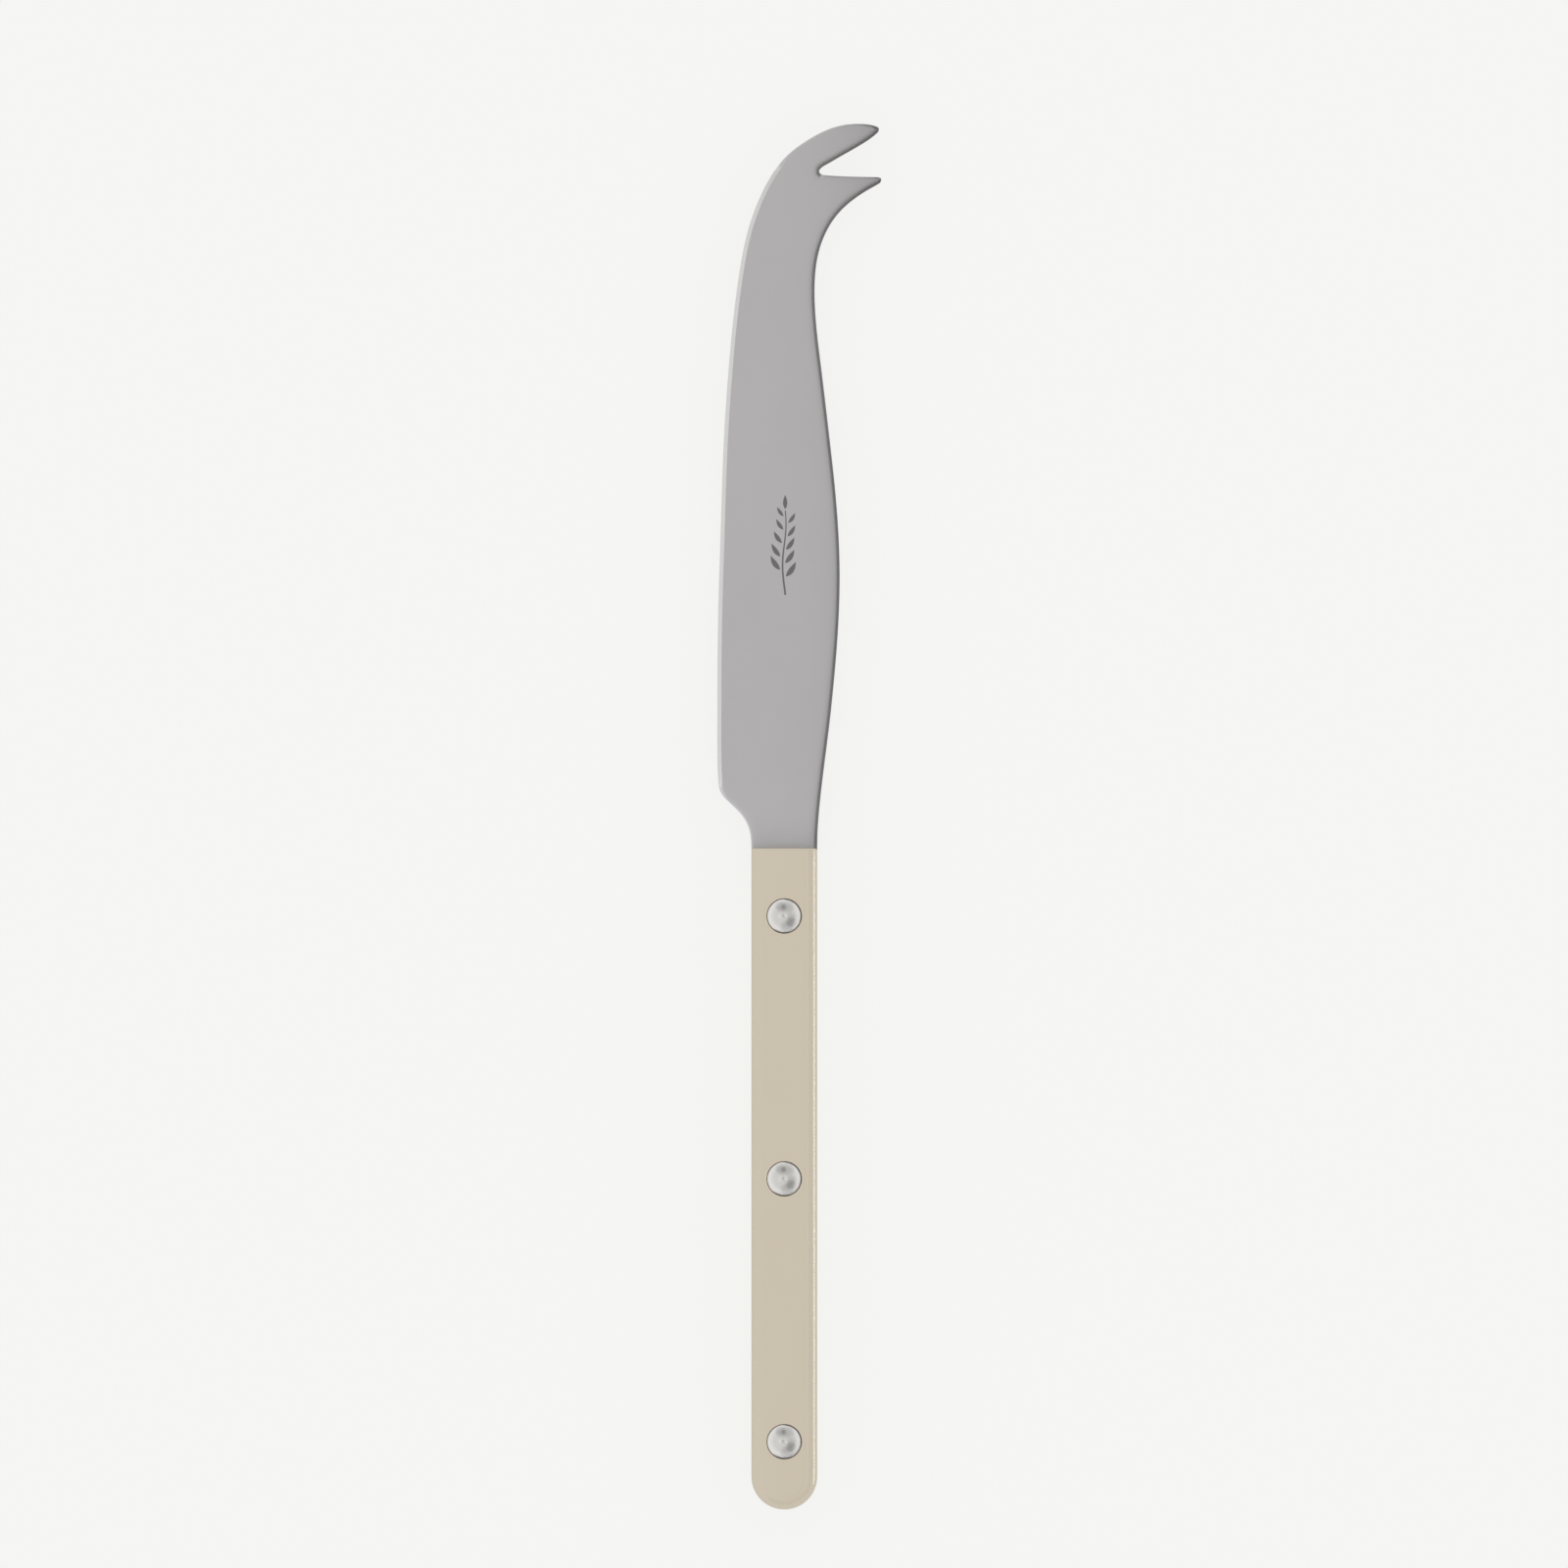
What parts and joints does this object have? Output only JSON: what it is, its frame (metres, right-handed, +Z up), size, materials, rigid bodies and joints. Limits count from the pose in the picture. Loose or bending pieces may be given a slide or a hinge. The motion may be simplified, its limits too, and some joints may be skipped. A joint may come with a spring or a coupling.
{
  "type": "fork-tipped cheese knife",
  "caption": "Slim full-tang cheese knife: curved flat steel blade with a ground edge and a forked tip, and a rounded beige handle of riveted scales.",
  "frame": {"origin": "centre of the underside of the whole knife's box, as it lies flat on its handle", "axes": "+Z up through the thickness, +Y along the blade from the handle's butt to the fork, +X towards the back of the blade and the fork's points, with the cutting edge on -X"},
  "size_m": [0.0284, 0.24, 0.0086],
  "materials": {
    "blade_steel": "satin stainless sheet with softened edges and a brighter ground bevel",
    "handle_scale": "glossy opaque beige resin",
    "rivet_steel": "polished domed steel heads with faint turning marks"
  },
  "bodies": {
    "root": {"blade": "blade_steel", "front_scale": "handle_scale", "back_scale": "handle_scale", "rivet_stud_1": "rivet_steel", "rivet_stud_2": "rivet_steel", "rivet_stud_3": "rivet_steel", "rivet_sleeve_1": "rivet_steel", "rivet_sleeve_2": "rivet_steel", "rivet_sleeve_3": "rivet_steel"}
  },
  "joints": []
}
